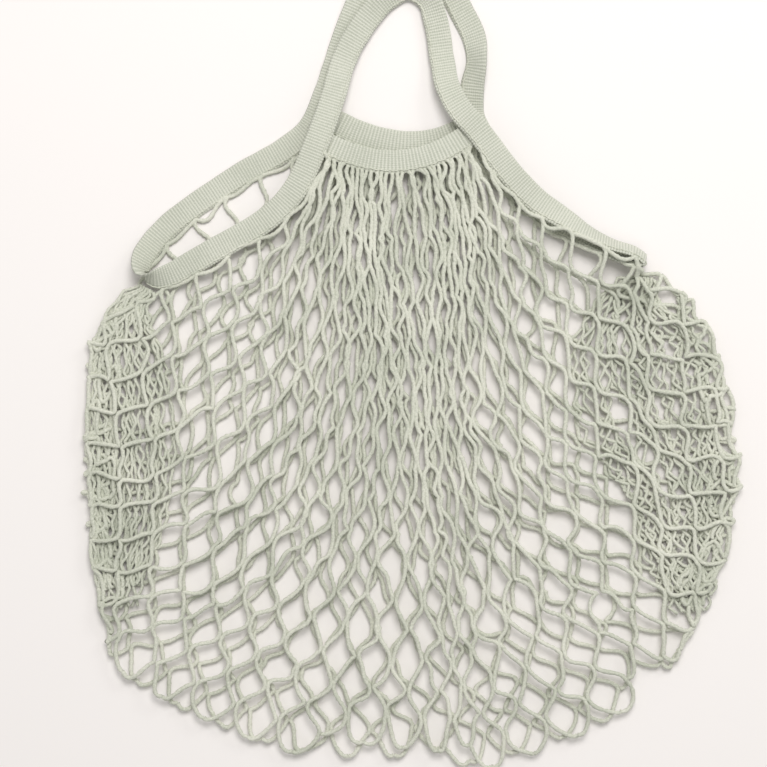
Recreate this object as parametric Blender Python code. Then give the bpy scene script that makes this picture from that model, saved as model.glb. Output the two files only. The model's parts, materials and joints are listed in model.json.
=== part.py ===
"""A net shopping bag of cotton yarn, lying flat on its back with its handles stretched out above it.

One net pouch hangs from a front and a back mouth band and from one long tape. The tape is a closed loop:
left front edge, front handle, right front edge, round the right side, right back edge, back handle,
left back edge, round the left side. +Y points to the handles, +Z up, and the bag lies on z = 0.
Lengths in the tables and constants are millimetres, angles are degrees.
"""

import math

import bmesh
import bpy
from mathutils import Vector

MM = 0.001
SEAM_GAP = 0.95

TAPE_WIDTH = 14.4
TAPE_THICKNESS = 1.8
BAND_WIDTH = 12.2
BAND_THICKNESS = 1.6
EDGE_RADIUS = 0.5
STATION_STEP = 7.0
STATION_TURN = 14.0

NET_THICKNESS = 1.6
NET_COLUMNS = 32
NET_ROWS = 18
TAPE_COLUMNS = 9
FOLD_CROWDING = 1.1
SIDE_FOLD_LEFT = 52.0
SIDE_FOLD_RIGHT = 58.0
NET_LOFT = 10.6
GATHER_DEPTH = 1.1
SWELL_DEPTH = 0.9
LAYER_GAP = 3.6
TOP_REACH = 34.0
RIM_REACH = 24.0
RIM_HEIGHT = 2.8
RIM_RADIUS = 2.0
RIGHT_RIM_HEIGHT = 15.2
RIGHT_RIM_REACH = 46.0

FRONT_BAND_Z = 9.95
BACK_BAND_Z = 3.1
TAPE_STEPS = 10
BAND_STEPS = 8
BAND_OVERRUN = 20
UP = Vector((0.0, 0.0, 1.0))

# The tape's centre line, once round, in rows of x, y, lift, facing and slope. Lift is how far its lowest
# edge is above the table. Facing and slope are the azimuth and the elevation of the direction from its
# sewn edge to its free edge.
LEFT_FRONT_EDGE = (
    (-149.5, 46.8, 3.6, 120, 45),
    (-139.5, 48.6, 5.2, 104, 20),
    (-127.0, 55.4, 6.8, 117, 6),
    (-112.0, 64.0, 7.8, 120, 2),
    (-97.0, 72.2, 8.6, 121, 0),
    (-84.0, 80.6, 9.4, 126, 0),
    (-73.0, 90.4, 10.4, 136, 0),
    (-64.6, 102.0, 11.4, 147, 0),
)
FRONT_HANDLE = (
    (-54.0, 126.0, 11.6, 157, 0),
    (-45.4, 151.0, 8.0, 163, 0),
    (-38.2, 175.0, 4.0, 158, 2),
    (-24.4, 198.0, 2.6, 141, 10),
    (-14.0, 208.6, 1.8, 126, 22),
    (-2.0, 213.6, 1.2, 90, 32),
    (9.0, 208.0, 1.8, 35, 24),
    (13.6, 196.0, 2.6, 12, 8),
    (17.6, 172.0, 4.2, 10, 0),
    (20.6, 157.0, 9.0, 16, 0),
    (27.0, 144.2, 11.7, 34, 0),
)
RIGHT_FRONT_EDGE = (
    (38.0, 131.2, 11.7, 43, 0),
    (62.4, 105.0, 10.9, 43, -1),
    (74.0, 93.2, 9.6, 48, -6),
    (86.8, 83.2, 8.2, 55, -24),
    (101.8, 74.4, 5.6, 62, -50),
    (116.4, 67.4, 3.6, 65, -60),
    (128.4, 62.0, 3.0, 66, -62),
)
RIGHT_FOLD = ((134.0, 57.4, 2.0, 66, -62),)
RIGHT_BACK_EDGE = (
    (126.4, 57.6, 0.9, 66, -60),
    (114.5, 62.4, 0.6, 64, -52),
    (101.0, 69.8, 0.3, 61, -36),
    (87.0, 79.8, 0.0, 54, -14),
    (74.0, 91.0, 0.0, 47, -2),
    (50.0, 117.0, 0.0, 42, 0),
)
BACK_HANDLE = (
    (40.2, 129.4, 0.0, 32, 0),
    (34.6, 142.4, 0.0, 12, 0),
    (35.0, 158.0, 0.0, -4, 18),
    (37.4, 173.0, 0.0, -2, 36),
    (35.4, 187.5, 0.0, 16, 16),
    (29.0, 201.0, 0.0, 28, 6),
    (20.0, 216.5, 0.0, 36, 10),
    (-2.5, 232.5, 0.0, 90, 28),
    (-25.0, 216.5, 0.0, 144, 10),
    (-33.6, 200.5, 0.0, 154, 3),
    (-43.4, 173.0, 0.0, 162, 0),
    (-48.6, 157.0, 0.0, 160, 0),
)
LEFT_BACK_EDGE = (
    (-59.0, 134.2, 0.0, 141, 0),
    (-71.0, 123.4, 0.0, 125, 0),
    (-99.0, 107.0, 0.0, 122, 0),
    (-128.4, 87.2, 0.0, 127, 0),
    (-141.0, 77.2, 0.0, 133, 2),
)
LEFT_FOLD = (
    (-150.2, 66.6, 0.5, 146, 12),
    (-155.4, 57.6, 1.8, 162, 33),
    (-155.8, 50.4, 3.0, 160, 54),
)

# The mouth bands' centre lines in plan, from end to end, in rows of x and y. Their ends lie over or under
# the tape.
FRONT_BAND = (
    (-57.0, 128.2),
    (-38.6, 119.8),
    (-25.3, 115.8),
    (-10.9, 114.3),
    (4.0, 116.2),
    (18.0, 121.2),
    (37.5, 133.0),
)
BACK_BAND = (
    (-55.5, 143.6),
    (-42.6, 138.0),
    (-32.8, 133.2),
    (-17.9, 128.4),
    (-3.5, 126.2),
    (11.5, 127.2),
    (24.0, 131.4),
    (36.5, 138.8),
)

# The outline of the net in plan, from the tape's left fold round the bottom to its right fold.
NET_OUTLINE = (
    (-151.0, 41.0),
    (-160.0, 38.0),
    (-177.0, 26.0),
    (-187.0, 6.0),
    (-189.4, -26.0),
    (-189.6, -92.0),
    (-184.0, -126.0),
    (-168.5, -181.0),
    (-152.0, -197.0),
    (-104.0, -216.5),
    (-62.0, -224.5),
    (-30.0, -229.0),
    (10.0, -235.0),
    (46.0, -232.5),
    (78.0, -221.5),
    (108.0, -211.5),
    (136.0, -188.0),
    (160.0, -160.0),
    (180.0, -118.0),
    (189.5, -82.0),
    (188.6, -36.0),
    (175.0, 13.0),
    (159.0, 39.5),
    (143.0, 49.5),
    (134.5, 53.5),
)

# The largest gaps of the net, open through both of its layers, as (column, row) of the lattice's cells.
LARGEST_GAPS = (
    (22.5, 6),
    (19.5, 8),
    (10.0, 11),
    (13.0, 11),
    (19.0, 11),
    (15.5, 12),
    (21.5, 12),
    (25.5, 12),
    (9.5, 14),
    (18.5, 14),
    (13.0, 15),
    (22.0, 15),
)


def clear_scene():
    for obj in list(bpy.data.objects):
        bpy.data.objects.remove(obj, do_unlink=True)


def cloth_material(name, colour, roughness):
    made = bpy.data.materials.new(name)
    made.use_nodes = True
    shader = made.node_tree.nodes["Principled BSDF"]
    shader.inputs["Base Color"].default_value = (*colour, 1.0)
    shader.inputs["Roughness"].default_value = roughness
    shader.inputs["Metallic"].default_value = 0.0
    return made


def smooth(value):
    value = min(1.0, max(0.0, value))
    return value * value * (3.0 - 2.0 * value)


def mix(a, b, share):
    return a + (b - a) * share


def spline(rows, closed, steps):
    """Points of a smooth curve through the rows, with `steps` of them from each row to the next."""
    rows = [Vector(row) for row in rows]
    count = len(rows)

    def row_at(k):
        return rows[k % count] if closed else rows[min(max(k, 0), count - 1)]

    def chord(k):
        return max(1e-6, (row_at(k + 1).xy - row_at(k).xy).length)

    def tangent(k):
        if not closed and k in (0, count - 1):
            first = min(k, count - 2)
            return (row_at(first + 1) - row_at(first)) / chord(first)
        before = (row_at(k) - row_at(k - 1)) / chord(k - 1)
        after = (row_at(k + 1) - row_at(k)) / chord(k)
        return (before + after) / 2

    points = []
    for k in range(count if closed else count - 1):
        start, end, length = row_at(k), row_at(k + 1), chord(k)
        out, back = tangent(k) * length, tangent(k + 1) * length
        for step in range(steps):
            t = step / steps
            points.append(
                start * (2 * t**3 - 3 * t**2 + 1)
                + out * (t**3 - 2 * t**2 + t)
                + end * (3 * t**2 - 2 * t**3)
                + back * (t**3 - t**2)
            )
    return points if closed else points + [rows[-1]]


def plan(point):
    return Vector((point.x, point.y, 0.0))


def arc_lengths(points):
    lengths = [0.0]
    for a, b in zip(points, points[1:]):
        lengths.append(lengths[-1] + (b - a).length)
    return lengths


def at_length(points, lengths, wanted):
    """The point of a polyline at a distance along it."""
    wanted = min(max(wanted, 0.0), lengths[-1])
    k = 0
    while k < len(lengths) - 2 and lengths[k + 1] < wanted:
        k += 1
    span = max(1e-9, lengths[k + 1] - lengths[k])
    return points[k].lerp(points[k + 1], (wanted - lengths[k]) / span)


def resample(points, count, crowding=1.0):
    """`count` points along a polyline with its ends. Crowding above 1 draws them to its start."""
    lengths = arc_lengths(points)
    shares = [(k / (count - 1)) ** crowding for k in range(count)]
    return [at_length(points, lengths, lengths[-1] * share) for share in shares]


class Station:
    """A place along a tape or band: its centre, the way to its free edge and the way its face looks."""

    def __init__(self, centre, along, across):
        self.centre = centre
        self.along = along.normalized()
        self.across = (across - self.along * across.dot(self.along)).normalized()
        self.face = self.along.cross(self.across)

    def at(self, across, out=0.0):
        return self.centre + self.across * across + self.face * out


def tape_stations():
    """Closely spaced stations once round the tape, and the number of each stretch's first station."""
    stretches = {
        "left front edge": LEFT_FRONT_EDGE,
        "front handle": FRONT_HANDLE,
        "right front edge": RIGHT_FRONT_EDGE,
        "right fold": RIGHT_FOLD,
        "right back edge": RIGHT_BACK_EDGE,
        "back handle": BACK_HANDLE,
        "left back edge": LEFT_BACK_EDGE,
        "left fold": LEFT_FOLD,
    }
    rows, starts = [], {}
    for stretch, its_rows in stretches.items():
        starts[stretch] = len(rows) * TAPE_STEPS
        rows += its_rows
    centres, acrosses = [], []
    for x, y, lift, facing, slope in spline(rows, True, TAPE_STEPS):
        facing, slope = math.radians(facing), math.radians(slope)
        low_edge = TAPE_WIDTH / 2 * abs(math.sin(slope)) + TAPE_THICKNESS / 2 * math.cos(slope)
        centres.append(Vector((x, y, max(lift, 0.0) + low_edge)))
        flat = Vector((math.cos(facing), math.sin(facing), 0.0))
        acrosses.append(flat * math.cos(slope) + UP * math.sin(slope))
    count = len(centres)
    stations = []
    for k in range(count):
        along = centres[(k + 1) % count] - centres[k - 1]
        stations.append(Station(centres[k], along, acrosses[k]))
    return stations, starts


def band_stations(rows, height):
    points = [Vector((x, y, height)) for x, y in spline(rows, False, BAND_STEPS)]
    stations = []
    for k, point in enumerate(points):
        along = points[min(k + 1, len(points) - 1)] - points[max(k - 1, 0)]
        stations.append(Station(point, along, UP.cross(along)))
    return stations


def thinned(stations, closed):
    """Drops stations where the ribbon runs nearly straight, and keeps them close where it turns."""
    kept = [stations[0]]
    for station, after in zip(stations[1:], stations[2:] + stations[:1]):
        last = kept[-1]
        far = (after.centre - last.centre).length > STATION_STEP
        turned = max(after.along.angle(last.along), after.across.angle(last.across))
        if far or turned > math.radians(STATION_TURN):
            kept.append(station)
    if not closed:
        kept.append(stations[-1])
    return kept


def ribbon_section(width, thickness):
    """Corners of a flat strip's section with its edges broken, as (across, out) pairs."""
    side, face, corner = width / 2, thickness / 2, EDGE_RADIUS
    right = [(side, -face + corner), (side, face - corner), (side - corner, face)]
    left = [(-side + corner, face), (-side, face - corner), (-side, -face + corner)]
    return right + left + [(-side + corner, -face), (side - corner, -face)]


def make_object(name, mesh_builder, cloth):
    mesh = bpy.data.meshes.new(name)
    mesh_builder.to_mesh(mesh)
    mesh_builder.free()
    mesh.materials.append(cloth)
    mesh.shade_smooth()
    mesh.set_sharp_from_angle(angle=math.radians(50))
    obj = bpy.data.objects.new(name, mesh)
    bpy.context.scene.collection.objects.link(obj)
    return obj


def make_ribbon(name, stations, width, thickness, closed, cloth):
    """Sweeps the strip's section along the stations, into a loop or with flat ends."""
    build = bmesh.new()
    rings = []
    for station in stations:
        corners = ribbon_section(width, thickness)
        rings.append([build.verts.new(station.at(across, out) * MM) for across, out in corners])
    pairs = list(zip(rings, rings[1:]))
    if closed:
        pairs.append((rings[-1], rings[0]))
    for ring, following in pairs:
        for k in range(len(ring)):
            build.faces.new((ring[k - 1], ring[k], following[k], following[k - 1]))
    if not closed:
        build.faces.new(rings[0])
        build.faces.new(reversed(rings[-1]))
    bmesh.ops.recalc_face_normals(build, faces=build.faces)
    return make_object(name, build, cloth)


def sewn_point(station, width):
    """Where the net's edge runs past a ribbon's sewn edge: straight on from it, clear of its corner."""
    clear = SEAM_GAP + NET_THICKNESS * abs(station.across.z)
    point = station.at(-width / 2 - clear)
    return Vector((point.x, point.y, max(point.z, NET_THICKNESS / 2)))


def joined(first, second):
    """Cuts two polylines where they pass closest in plan, so that the second goes on from the first."""
    pairs = [(k, m) for k in range(len(first)) for m in range(len(second))]
    end, start = min(pairs, key=lambda pair: (plan(first[pair[0]]) - plan(second[pair[1]])).length)
    corner = first[end].lerp(second[start], 0.5)
    return first[:end] + [corner], [corner] + second[start + 1 :]


def chain(tape_before, band, tape_after):
    """The net's top edge on one side of the bag, in half columns: tape, band, tape."""
    left, middle = joined(
        [sewn_point(s, TAPE_WIDTH) for s in tape_before], [sewn_point(s, BAND_WIDTH) for s in band]
    )
    middle, right = joined(middle, [sewn_point(s, TAPE_WIDTH) for s in tape_after])
    half = 2 * TAPE_COLUMNS
    left = resample(left, half + 1, FOLD_CROWDING)
    middle = resample(middle, 2 * NET_COLUMNS - 2 * half + 1)
    right = resample(right[::-1], half + 1, FOLD_CROWDING)[::-1]
    return left + middle[1:] + right[1:]


class Net:
    """The pouch's middle surface: two layers of one lattice of diamond cells, joined round a rim."""

    def __init__(self, front_chain, back_chain):
        self.tops = {"front": front_chain, "back": back_chain}
        self.outline = [Vector((x, y, 0.0)) for x, y in spline(NET_OUTLINE, False, BAND_STEPS)]
        self.lengths = arc_lengths(self.outline)
        self.build = bmesh.new()
        self.points = {}

    def outline_at(self, length):
        return at_length(self.outline, self.lengths, length)

    def seam_length(self, half_column):
        bottom = self.lengths[-1] - SIDE_FOLD_LEFT - SIDE_FOLD_RIGHT
        return SIDE_FOLD_LEFT + bottom * half_column / (2 * NET_COLUMNS)

    def inward(self, length):
        """The direction in plan from the outline into the net."""
        along = self.outline_at(length + 1.0) - self.outline_at(length - 1.0)
        return UP.cross(along).normalized()

    def nearest_length(self, spot):
        k = min(range(len(self.outline)), key=lambda k: (spot - self.outline[k]).length)
        return self.lengths[k]

    def rim_height(self, length):
        """The rim lies near the table, and climbs to the tape's raised fold at the right."""
        to_right_fold = self.lengths[-1] - length
        return mix(RIGHT_RIM_HEIGHT, RIM_HEIGHT, smooth(to_right_fold / RIGHT_RIM_REACH))

    def rim(self, length):
        point = self.outline_at(length)
        return Vector((point.x, point.y, self.rim_height(length)))

    def place(self, layer, half_column, row):
        """Where a crossing of the lattice lies."""
        top = self.tops[layer][half_column]
        seam = self.seam_length(half_column)
        down = row / NET_ROWS
        foot = self.outline_at(seam) + self.inward(seam) * RIM_RADIUS
        spot = plan(top).lerp(foot, down)
        # Near the two sides the columns follow the outline's bend.
        for edge, start, way in ((0, 0.0, 1.0), (2 * NET_COLUMNS, self.lengths[-1], -1.0)):
            near = 1.0 - abs(half_column - edge) / (2.0 * TAPE_COLUMNS)
            if near > 0.0:
                fold = SIDE_FOLD_LEFT if edge == 0 else SIDE_FOLD_RIGHT
                along = start + way * fold * down
                on_edge = self.outline_at(along) + self.inward(along) * RIM_RADIUS
                edge_top = plan(self.tops[layer][edge])
                edge_foot = self.outline_at(start + way * fold)
                edge_foot = edge_foot + self.inward(start + way * fold) * RIM_RADIUS
                spot += (on_edge - edge_top.lerp(edge_foot, down)) * near**2 * smooth(4.0 * down)
        height = self.front_height(spot, top, half_column, down)
        if layer == "back":
            height = self.back_height(spot, top)
        return Vector((spot.x, spot.y, height))

    def front_height(self, spot, top, half_column, down):
        column = half_column / 2
        from_top = (spot - plan(top)).length
        near_rim = self.nearest_length(spot)
        to_rim = (spot - self.outline_at(near_rim)).length
        gathers = GATHER_DEPTH * math.cos(math.pi * column) * (1.0 - 0.6 * down)
        gathers *= smooth(from_top / 20.0)
        swell = SWELL_DEPTH * math.sin(0.55 * column + 3.0 * down) * math.sin(2.3 * down + 0.4)
        lofted = max(NET_LOFT + gathers + swell, self.back_cover(spot) + LAYER_GAP)
        height = mix(top.z, lofted, smooth(from_top / TOP_REACH))
        clear = max(smooth(to_rim / RIM_REACH), 1.0 - smooth(from_top / 10.0))
        return mix(self.rim_height(near_rim) + RIM_RADIUS, height, clear)

    def back_height(self, spot, top):
        flat = NET_THICKNESS / 2
        from_top = (spot - plan(top)).length
        return mix(top.z, flat, smooth(from_top / (12.0 + 2.2 * (top.z - flat))))

    def back_cover(self, spot):
        """How high the back layer stands under a place of the front one."""
        nearest = min(self.tops["back"], key=lambda top: (spot - plan(top)).length)
        return self.back_height(spot, nearest)

    def vert(self, layer, half_column, row):
        key = (layer, half_column, row)
        if key not in self.points:
            self.points[key] = self.build.verts.new(self.place(*key) * MM)
        return self.points[key]

    def cells(self, layer):
        """The lattice's faces: whole diamonds inside, halves along its four edges."""
        last = 2 * NET_COLUMNS
        for row in range(NET_ROWS + 1):
            for middle in range(last + 1):
                # A cell sits between crossings left and right of it, on rows of the other parity.
                if (middle + row) % 2 == 0:
                    continue
                around = ((middle, row - 1), (middle + 1, row), (middle, row + 1), (middle - 1, row))
                # A half cell has its straight side's middle as its fourth corner.
                corners = [(min(max(c, 0), last), min(max(r, 0), NET_ROWS)) for c, r in around]
                if (middle / 2, row) not in LARGEST_GAPS:
                    self.build.faces.new([self.vert(layer, *corner) for corner in corners])

    def boundary(self, layer):
        """The crossings down the left side, along the bottom and up the right side."""
        last = 2 * NET_COLUMNS
        left = [self.vert(layer, 0, row) for row in range(NET_ROWS + 1)]
        bottom = [self.vert(layer, column, NET_ROWS) for column in range(1, last)]
        right = [self.vert(layer, last, row) for row in range(NET_ROWS, -1, -1)]
        return left + bottom + right

    def rim_lengths(self):
        rows = [row / NET_ROWS for row in range(NET_ROWS + 1)]
        left = [SIDE_FOLD_LEFT * down for down in rows]
        bottom = [self.seam_length(column) for column in range(1, 2 * NET_COLUMNS)]
        right = [self.lengths[-1] - SIDE_FOLD_RIGHT * down for down in reversed(rows)]
        return left + bottom + right

    def close_rim(self):
        front, back = self.boundary("front"), self.boundary("back")
        rim = [self.build.verts.new(self.rim(length) * MM) for length in self.rim_lengths()]
        for k in range(len(rim) - 1):
            self.build.faces.new((front[k], rim[k], rim[k + 1], front[k + 1]))
            self.build.faces.new((back[k], back[k + 1], rim[k + 1], rim[k]))

    def make(self, name, cloth):
        for layer in ("front", "back"):
            self.cells(layer)
        self.close_rim()
        bmesh.ops.recalc_face_normals(self.build, faces=self.build.faces)
        obj = make_object(name, self.build, cloth)
        shell = obj.modifiers.new("net thickness", "SOLIDIFY")
        shell.thickness = NET_THICKNESS * MM
        shell.offset = 0.0
        return obj


def main():
    clear_scene()
    band_cloth = cloth_material("ribbed band cotton", (0.60, 0.63, 0.53), 0.9)
    tape_cloth = cloth_material("ribbed tape cotton", (0.59, 0.62, 0.52), 0.9)
    net_cloth = cloth_material("net cotton", (0.58, 0.60, 0.49), 0.92)

    tape, starts = tape_stations()
    front_band = band_stations(FRONT_BAND, FRONT_BAND_Z)
    back_band = band_stations(BACK_BAND, BACK_BAND_Z)
    make_ribbon("handle_tape", thinned(tape, True), TAPE_WIDTH, TAPE_THICKNESS, True, tape_cloth)
    for name, band in (("mouth_band_front", front_band), ("mouth_band_back", back_band)):
        make_ribbon(name, thinned(band, False), BAND_WIDTH, BAND_THICKNESS, False, band_cloth)

    right_fold = starts["right fold"]
    front_left = tape[: starts["front handle"] + BAND_OVERRUN]
    front_right = tape[starts["right front edge"] - BAND_OVERRUN : right_fold + 1]
    back_right = tape[right_fold : starts["back handle"] + BAND_OVERRUN + 10]
    back_left = tape[starts["left back edge"] - BAND_OVERRUN :] + tape[:1]
    front_chain = chain(front_left, front_band, front_right)
    back_chain = chain(back_left[::-1], back_band, back_right[::-1])
    Net(front_chain, back_chain).make("net_body", net_cloth)


main()
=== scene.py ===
"""A net shopping bag of sage green cotton, lying flat on a pale table with its handles stretched out above.

The net's outline, the mouth bands and the tape follow the solid part's tables, except that the tape's right
edges lie up to 3.2 mm off the solid's and that both bands are a little wider. Lengths are millimetres and
angles are degrees until a mesh is made, +Y points to the handles and +Z up.
"""

import json
import math

import bpy
import numpy as np
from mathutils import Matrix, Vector, noise


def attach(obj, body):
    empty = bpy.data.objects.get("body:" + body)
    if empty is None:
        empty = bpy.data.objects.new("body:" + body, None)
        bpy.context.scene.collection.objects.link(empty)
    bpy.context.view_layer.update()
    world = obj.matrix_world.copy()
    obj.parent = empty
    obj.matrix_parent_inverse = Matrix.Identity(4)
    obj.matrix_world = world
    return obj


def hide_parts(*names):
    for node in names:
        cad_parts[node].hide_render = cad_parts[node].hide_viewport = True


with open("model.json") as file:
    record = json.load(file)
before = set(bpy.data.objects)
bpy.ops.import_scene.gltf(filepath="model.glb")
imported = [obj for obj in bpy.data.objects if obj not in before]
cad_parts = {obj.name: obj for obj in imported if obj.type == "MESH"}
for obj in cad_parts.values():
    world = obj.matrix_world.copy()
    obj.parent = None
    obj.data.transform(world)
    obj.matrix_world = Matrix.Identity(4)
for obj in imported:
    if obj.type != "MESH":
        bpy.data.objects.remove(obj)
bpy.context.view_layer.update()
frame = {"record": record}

MM = 0.001
UP = np.array((0.0, 0.0, 1.0))
NOISE_SEED = 7

# Blender seeds noise_vector from the clock unless it is given a seed of its own.
noise.seed_set(NOISE_SEED)

# -------- sizes of the tape, bands and net
TAPE_WIDTH = 14.4
TAPE_THICKNESS = 1.8
BAND_WIDTH = 12.4
FRONT_BAND_WIDTH = 13.6
BACK_BAND_WIDTH = 15.6
BAND_THICKNESS = 1.6
FRONT_BAND_Z = 9.95
BACK_BAND_Z = 3.1
SEAM_INSET = 0.3

# Ribs run across the strips, and their rounded ends are the strips' uneven edges.
TAPE_RIB = 1.72
BAND_RIB = 2.05
RIB_HEIGHT = 0.42
STATIONS_PER_RIB = 4
RIB_END_INSET = 0.25
RIB_END_BULGE = 0.3
EDGE_UNEVENNESS = 0.25
EDGE_WAVES_PER_MM = 0.11
LEAST_HEIGHT = 0.02

# A stitching thread dips in and out of its strip, this far from the sewn edge.
STITCH = 2.6
STATIONS_PER_STITCH = 6
STITCH_INSET = 1.75
STITCH_PROUD = 0.16
STITCH_SWAY = 0.2
THREAD_RADIUS = 0.4
THREAD_SIDES = 6

# Two plies twisted together: round the yarn, its radius swings between the least share and that plus the
# crown. YARN_TURN is the length of one twist.
YARN_RADIUS = 1.28
GATHERED_RADIUS = 0.95
YARN_TURN = 7.0
YARN_SIDES = 10
ROUND_THE_YARN = np.arange(YARN_SIDES) / YARN_SIDES * 2 * np.pi * YARN_RADIUS
PLY_LEAST = 0.74
PLY_CROWN = 0.36
PLY_SHARPNESS = 1.2
YARN_LUMPS = 0.16
LUMP_LENGTH = 3.1

# How many stations the tape runs on beside a mouth band, so that the net can pass from one to the other.
BAND_OVERRUN = 20
BACK_HANDLE_OVERRUN = 30

# The net's pattern: the length of a mesh's side, the columns that start at the mouth, the rows that are
# sewn to the tape and the part of a row left under the last of them, the rows that add a half column at
# each side, all the rows, and how many points a mesh's side is drawn with.
MESH_SIDE = 19.6
MOUTH_COLUMNS = 17
SEWN_ROWS = 6
SEWN_END = 0.35
SIDE_ROWS = 9
NET_ROWS = 25
EDGE_STATIONS = 13

# How the columns fan out, as (radius where it starts, over how far). They turn to the sides' angles, spread
# below the mouth, crowd further down and lose some of that again. A tie to the tape pulls on the columns
# beside it, less and less over SEWN_HOLD of them. The last two are for working the fan out.
SIDE_ANGLES = (215.0, 327.0)
SIDE_TURN = 60.0
SPREAD_STARTS = (45.0, 35.0)
SPREAD_ENDS = (90.0, 65.0)
CROWD_STARTS = (115.0, 70.0)
CROWD_ENDS = (250.0, 130.0)
SPREAD_SHARE = 0.75
CROWD_LOSS = 0.75
SEWN_HOLD = 2.2
FIRST_RADIUS = 60.0
SHARE_SAMPLES = 81

# A yarn in plan: how far it keeps from the crossing's middle, how it sets off and ends, how far it bends
# between two crossings, and how far it hangs off the tape between two ties.
SIDE_BY_SIDE = 1.12
START_APART = 1.3
FIRST_REACH = 0.8
TANGENT_REACH = 0.92
LOOP_REACH = 0.9
BEND_WAVE = 9.0
BEND = 0.26
DOUBLE_BEND = 0.17
DOUBLE_BEND_PACE = 1.7
SEWN_SLACK = 2.0

# The relaxation: its steps, how hard each one pushes, and the shortest that a mesh's side may look in plan.
RELAX_STEPS = 400
RELAX_PUSH = 2.4
SHORTEST_SIDE = 0.74

# Unevenness of a net laid down by hand, as (wavelength, reach, seed). It grows over the first rows.
DRIFTS = ((74.0, 18.0, 0.0), (31.0, 9.0, 3.0), (15.0, 7.0, 5.0))
DRIFT_ROWS = 4.0

# A mesh whose middle is near a stated gap is drawn onto it with its neighbours, in passes, and less in the
# first rows. Then the yarn itself is moved out of the gap.
GAP_REACH = 8.0
GAP_PULL = 11.0
GAP_ROWS = 5.0
GAP_PASSES = 2
GAP_OPENING = 1.35
GAP_BLUR = 1.3

# The net ends in loops along the bottom, and from SIDES_START up (y, and over how far) it folds over its
# outline. SIDE_TUCK is the furthest that folded net comes back in, and KEPT_ is how far past the outline
# net is kept. The fold is rounded and its edge uneven, less so deeper in.
SIDES_START = (-195.0, 60.0)
SIDE_TUCK = 75.0
TUCK_SQUEEZE = 0.6
KEPT_TUCKED = 36.0
KEPT_BELOW = 3.0
LOOP_OVERSHOOT = 5.0
FOLD_RADIUS = 3.0
FOLD_INSET = 2.5
FOLD_UNEVENNESS = 5.0
FOLD_WAVE = 15.0
FOLD_DEPTH = (3.0, 16.0)
WELL_INSIDE = 40.0

# Heights of the yarn's middle. Below the mouth both layers are gathered and lie together, and what is
# tucked in lies between them: the spreads are how much of the layers' own heights stays.
MIDDLE_HEIGHT = 5.0
ROUGH_WAVE = 26.0
GATHERED_HEIGHT = 6.4
GATHERED_SPREAD = 0.35
GATHERED_WIDTH = 55.0
GATHERED_STARTS = (-130.0, 90.0)
GATHERED_SHARE = 0.8
SEAM_REACH = 34.0
TUCKED_SPREAD = 0.3
TUCKED_ROUGHNESS = 1.6
TUCKED_WAVE = 14.0
TUCKED_STARTS = (-2.0, 16.0)
LEAST_YARN_HEIGHT = 1.25 * YARN_RADIUS

# Each yarn's own rise and fall, and how far it strays in plan where it is tucked in.
LIE = 0.9
LIE_WAVE = 11.0
TANGLE = 2.0
TANGLE_WAVE = 12.0
TANGLE_OVER = 14.0

# The gathered sides: the stations along a yarn, how uneven its curls and its place in the bundle are, and
# how high it lies.
GATHER_STATION = 1.25
CURL_WAVE = 17.0
CURL_TIMING = 2.4
CURL_UNEVENNESS = 1.2
CURL_LEAN = 0.22
WANDER = 0.24
WANDER_WAVE = 45.0
GATHER_HEIGHT = 4.5
GATHER_RIPPLE = 19.0
GATHER_ROUGHNESS = 1.2
LEAST_TRIM = 6
TRIM = 12

# The tape's centre line, once round, in rows of x, y, lift, facing and slope. Lift is how far its lowest
# edge is above the table. Facing and slope are the azimuth and the elevation of the direction from its
# sewn edge to its free edge.
LEFT_FRONT_EDGE = (
    (-149.5, 46.8, 3.6, 120, 45),
    (-139.5, 48.6, 5.2, 104, 20),
    (-127, 55.4, 6.8, 117, 6),
    (-112, 64, 7.8, 120, 2),
    (-97, 72.2, 8.6, 121, 0),
    (-84, 80.6, 9.4, 126, 0),
    (-73, 90.4, 10.4, 136, 0),
    (-64.6, 102, 11.4, 147, 0),
)
FRONT_HANDLE = (
    (-54, 126, 11.6, 157, 0),
    (-45.4, 151, 8, 163, 0),
    (-38.2, 175, 4, 158, 2),
    (-24.4, 198, 2.6, 141, 10),
    (-14, 208.6, 1.8, 126, 22),
    (-2, 213.6, 1.2, 90, 32),
    (9, 208, 1.8, 35, 24),
    (13.6, 196, 2.6, 12, 8),
    (17.6, 172, 4.2, 10, 0),
    (20.6, 157, 9, 16, 0),
    (27, 144.2, 11.7, 34, 0),
)
RIGHT_FRONT_EDGE = (
    (38, 131.2, 11.7, 43, 0),
    (60.1, 102.8, 10.9, 43, -1),
    (72.2, 91.2, 9.6, 48, -6),
    (86, 82, 8.2, 55, -24),
    (101, 72.8, 5.6, 62, -50),
    (115.8, 66, 3.6, 65, -60),
    (128.4, 62, 3, 66, -62),
)
RIGHT_FOLD = ((134, 57.4, 2, 66, -62),)
RIGHT_BACK_EDGE = (
    (126.4, 57.6, 0.9, 66, -60),
    (114.5, 62.4, 0.6, 64, -52),
    (101, 69.8, 0.3, 61, -36),
    (86, 78.4, 0, 54, -14),
    (72, 89, 0, 47, -2),
    (48, 114.8, 0, 42, 0),
)
BACK_HANDLE = (
    (40.2, 129.4, 0, 32, 0),
    (34.6, 142.4, 0, 12, 0),
    (35, 158, 0, -4, 18),
    (37.4, 173, 0, -2, 36),
    (35.4, 187.5, 0, 16, 16),
    (29, 201, 0, 28, 6),
    (20, 216.5, 0, 36, 10),
    (-2.5, 232.5, 0, 90, 28),
    (-25, 216.5, 0, 144, 10),
    (-33.6, 200.5, 0, 154, 3),
    (-43.4, 173, 0, 162, 0),
    (-48.6, 157, 0, 160, 0),
)
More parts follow.
